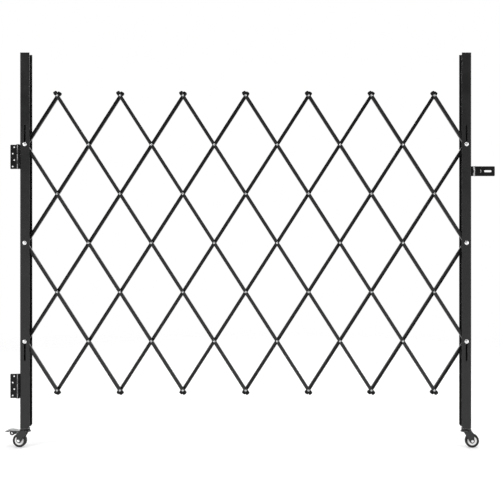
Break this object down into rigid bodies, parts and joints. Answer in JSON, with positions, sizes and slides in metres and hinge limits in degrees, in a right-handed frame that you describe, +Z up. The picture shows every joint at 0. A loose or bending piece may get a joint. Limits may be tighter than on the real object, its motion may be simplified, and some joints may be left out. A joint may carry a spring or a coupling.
{
  "type": "folding security gate",
  "caption": "Folding security gate: a riveted scissor lattice of channel bars between two channel posts, hinged at one side, with a hasp at the other and casters below.",
  "frame": {"origin": "on the floor, under the middle of the bounding box of the open gate", "axes": "+X along the open gate from the hinged post to the hasp post, +Y from its front to its back, +Z up"},
  "size_m": [1.8022, 0.0502, 1.448],
  "materials": {
    "black_paint": "satin black powder coat",
    "dark_steel": "dark grey paint over pressed sheet",
    "zinc": "bright zinc plate",
    "tyre": "matt black rubber",
    "core": "off-white moulded plastic"
  },
  "bodies": {
    "wall_side": {"hinge_wall_leaf_upper": "black_paint", "hinge_wall_leaf_lower": "black_paint", "hinge_pin_upper": "dark_steel", "hinge_pin_lower": "dark_steel"},
    "left_post": {"post_left": "black_paint", "hinge_post_leaf_upper": "black_paint", "hinge_post_leaf_lower": "black_paint", "foot_plate_left": "black_paint", "caster_stem_left": "zinc", "caster_nut_left": "zinc", "pivot_bolt_left_middle": "zinc"},
    "right_post": {"post_right": "black_paint", "hasp_base": "black_paint", "hasp_pin": "zinc", "foot_plate_right": "black_paint", "caster_stem_right": "zinc", "caster_nut_right": "zinc", "pivot_bolt_right_middle": "zinc"},
    "strap": {"hasp_strap": "black_paint"},
    "left_fork": {"caster_fork_left": "dark_steel", "caster_axle_left": "zinc", "brake_pin": "zinc"},
    "left_wheel": {"caster_tyre_left": "tyre", "caster_core_left": "core"},
    "pedal": {"brake_pedal": "zinc"},
    "right_fork": {"caster_fork_right": "dark_steel", "caster_axle_right": "zinc"},
    "right_wheel": {"caster_tyre_right": "tyre", "caster_core_right": "core"},
    "front_bar_1": {"front_bar_1": "black_paint"},
    "front_bar_2": {"front_bar_2": "black_paint"},
    "front_bar_3": {"front_bar_3": "black_paint", "pivot_bolt_left_top": "zinc"},
    "front_bar_4": {"front_bar_4": "black_paint"},
    "front_bar_5": {"front_bar_5": "black_paint"},
    "front_bar_6": {"front_bar_6": "black_paint"},
    "front_bar_7": {"front_bar_7": "black_paint"},
    "front_bar_8": {"front_bar_8": "black_paint", "pivot_bolt_right_bottom": "zinc"},
    "front_bar_9": {"front_bar_9": "black_paint"},
    "front_bar_10": {"front_bar_10": "black_paint"},
    "rear_bar_1": {"rear_bar_1": "black_paint"},
    "rear_bar_2": {"rear_bar_2": "black_paint"},
    "rear_bar_3": {"rear_bar_3": "black_paint", "pivot_bolt_left_bottom": "zinc"},
    "rear_bar_4": {"rear_bar_4": "black_paint"},
    "rear_bar_5": {"rear_bar_5": "black_paint"},
    "rear_bar_6": {"rear_bar_6": "black_paint"},
    "rear_bar_7": {"rear_bar_7": "black_paint"},
    "rear_bar_8": {"rear_bar_8": "black_paint", "pivot_bolt_right_top": "zinc"},
    "rear_bar_9": {"rear_bar_9": "black_paint"},
    "rear_bar_10": {"rear_bar_10": "black_paint"}
  },
  "joints": [
    {"name": "gate_swing", "type": "hinge", "parent": "wall_side", "child": "left_post", "pos_m": [-0.84393, -0.01885, 1.0665], "axis": [0, 0, 1], "range_deg": [-180, 62]},
    {"name": "fold", "type": "hinge", "parent": "left_post", "child": "rear_bar_2", "pos_m": [-0.81993, 0.00165, 0.75145], "axis": [0, -1, 0], "range_deg": [0, 28.61]},
    {"name": "front_bar_2_pivot", "type": "hinge", "parent": "left_post", "child": "front_bar_2", "pos_m": [-0.81993, 0.00165, 0.75145], "axis": [0, -1, 0], "range_deg": [-28.61, 0]},
    {"name": "front_bar_5_pivot", "type": "hinge", "parent": "rear_bar_2", "child": "front_bar_5", "pos_m": [-0.47348, 0.00165, 1.293], "axis": [0, -1, 0], "range_deg": [-57.22, 0]},
    {"name": "front_bar_4_pivot", "type": "hinge", "parent": "rear_bar_2", "child": "front_bar_4", "pos_m": [-0.58896, 0.00165, 1.11248], "axis": [0, -1, 0], "range_deg": [-57.22, 0]},
    {"name": "front_bar_3_pivot", "type": "hinge", "parent": "rear_bar_2", "child": "front_bar_3", "pos_m": [-0.70445, 0.00165, 0.93197], "axis": [0, -1, 0], "range_deg": [-57.22, 0]},
    {"name": "rear_bar_1_pivot", "type": "hinge", "parent": "front_bar_4", "child": "rear_bar_1", "pos_m": [-0.70445, 0.00165, 1.293], "axis": [0, -1, 0], "range_deg": [0, 57.22]},
    {"name": "rear_bar_3_pivot", "type": "hinge", "parent": "front_bar_5", "child": "rear_bar_3", "pos_m": [-0.35799, 0.00165, 1.11248], "axis": [0, -1, 0], "range_deg": [0, 57.22]},
    {"name": "rear_bar_4_pivot", "type": "hinge", "parent": "front_bar_5", "child": "rear_bar_4", "pos_m": [-0.24251, 0.00165, 0.93197], "axis": [0, -1, 0], "range_deg": [0, 57.22]},
    {"name": "rear_bar_5_pivot", "type": "hinge", "parent": "front_bar_5", "child": "rear_bar_5", "pos_m": [-0.12702, 0.00165, 0.75145], "axis": [0, -1, 0], "range_deg": [0, 57.22]},
    {"name": "rear_bar_6_pivot", "type": "hinge", "parent": "front_bar_5", "child": "rear_bar_6", "pos_m": [-0.01154, 0.00165, 0.57093], "axis": [0, -1, 0], "range_deg": [0, 57.22]},
    {"name": "rear_bar_7_pivot", "type": "hinge", "parent": "front_bar_5", "child": "rear_bar_7", "pos_m": [0.10395, 0.00165, 0.39042], "axis": [0, -1, 0], "range_deg": [0, 57.22]},
    {"name": "rear_bar_8_pivot", "type": "hinge", "parent": "front_bar_5", "child": "rear_bar_8", "pos_m": [0.21944, 0.00165, 0.2099], "axis": [0, -1, 0], "range_deg": [0, 57.22]},
    {"name": "front_bar_1_pivot", "type": "hinge", "parent": "rear_bar_3", "child": "front_bar_1", "pos_m": [-0.81993, 0.00165, 0.39042], "axis": [0, -1, 0], "range_deg": [-57.22, 0]},
    {"name": "front_bar_6_pivot", "type": "hinge", "parent": "rear_bar_6", "child": "front_bar_6", "pos_m": [0.10395, 0.00165, 0.75145], "axis": [0, -1, 0], "range_deg": [-57.22, 0]},
    {"name": "front_bar_7_pivot", "type": "hinge", "parent": "rear_bar_6", "child": "front_bar_7", "pos_m": [0.21944, 0.00165, 0.93197], "axis": [0, -1, 0], "range_deg": [-57.22, 0]},
    {"name": "front_bar_8_pivot", "type": "hinge", "parent": "rear_bar_6", "child": "front_bar_8", "pos_m": [0.33492, 0.00165, 1.11248], "axis": [0, -1, 0], "range_deg": [-57.22, 0]},
    {"name": "front_bar_9_pivot", "type": "hinge", "parent": "rear_bar_6", "child": "front_bar_9", "pos_m": [0.45041, 0.00165, 1.293], "axis": [0, -1, 0], "range_deg": [-57.22, 0]},
    {"name": "front_bar_10_pivot", "type": "hinge", "parent": "rear_bar_8", "child": "front_bar_10", "pos_m": [0.79687, 0.00165, 1.11248], "axis": [0, -1, 0], "range_deg": [-57.22, 0]},
    {"name": "rear_bar_9_pivot", "type": "hinge", "parent": "front_bar_9", "child": "rear_bar_9", "pos_m": [0.79687, 0.00165, 0.75145], "axis": [0, -1, 0], "range_deg": [0, 57.22]},
    {"name": "rear_bar_10_pivot", "type": "hinge", "parent": "front_bar_8", "child": "rear_bar_10", "pos_m": [0.79687, 0.00165, 0.39042], "axis": [0, -1, 0], "range_deg": [0, 57.22]},
    {"name": "right_post_pivot", "type": "hinge", "parent": "front_bar_9", "child": "right_post", "pos_m": [0.79687, 0.00165, 0.75145], "axis": [0, -1, 0], "range_deg": [0, 28.61]},
    {"name": "hasp_swing", "type": "hinge", "parent": "right_post", "child": "strap", "pos_m": [0.82707, -0.01635, 1.014], "axis": [0, 0, 1], "range_deg": [-175, 92]},
    {"name": "left_caster_swivel", "type": "hinge", "parent": "left_post", "child": "left_fork", "pos_m": [-0.81993, 0.00165, 0.064], "axis": [0, 0, 1], "continuous": true},
    {"name": "left_wheel_spin", "type": "hinge", "parent": "left_fork", "child": "left_wheel", "pos_m": [-0.84361, 0.00414, 0.025], "axis": [-0.1045, -0.9945, 0], "continuous": true},
    {"name": "brake_press", "type": "hinge", "parent": "left_fork", "child": "pedal", "pos_m": [-0.84728, 0.00453, 0.056], "axis": [-0.1045, -0.9945, 0], "range_deg": [0, 9]},
    {"name": "right_caster_swivel", "type": "hinge", "parent": "right_post", "child": "right_fork", "pos_m": [0.79687, 0.00165, 0.064], "axis": [0, 0, 1], "continuous": true},
    {"name": "right_wheel_spin", "type": "hinge", "parent": "right_fork", "child": "right_wheel", "pos_m": [0.82053, -0.00084, 0.025], "axis": [0.1045, 0.9945, 0], "continuous": true}
  ],
  "couplings": [
    {"joint": "front_bar_2_pivot", "follows": "fold", "ratio": -1},
    {"joint": "front_bar_5_pivot", "follows": "fold", "ratio": -2},
    {"joint": "front_bar_4_pivot", "follows": "fold", "ratio": -2},
    {"joint": "front_bar_3_pivot", "follows": "fold", "ratio": -2},
    {"joint": "rear_bar_1_pivot", "follows": "fold", "ratio": 2},
    {"joint": "rear_bar_3_pivot", "follows": "fold", "ratio": 2},
    {"joint": "rear_bar_4_pivot", "follows": "fold", "ratio": 2},
    {"joint": "rear_bar_5_pivot", "follows": "fold", "ratio": 2},
    {"joint": "rear_bar_6_pivot", "follows": "fold", "ratio": 2},
    {"joint": "rear_bar_7_pivot", "follows": "fold", "ratio": 2},
    {"joint": "rear_bar_8_pivot", "follows": "fold", "ratio": 2},
    {"joint": "front_bar_1_pivot", "follows": "fold", "ratio": -2},
    {"joint": "front_bar_6_pivot", "follows": "fold", "ratio": -2},
    {"joint": "front_bar_7_pivot", "follows": "fold", "ratio": -2},
    {"joint": "front_bar_8_pivot", "follows": "fold", "ratio": -2},
    {"joint": "front_bar_9_pivot", "follows": "fold", "ratio": -2},
    {"joint": "front_bar_10_pivot", "follows": "fold", "ratio": -2},
    {"joint": "rear_bar_9_pivot", "follows": "fold", "ratio": 2},
    {"joint": "rear_bar_10_pivot", "follows": "fold", "ratio": 2},
    {"joint": "right_post_pivot", "follows": "fold", "ratio": 1}
  ]
}
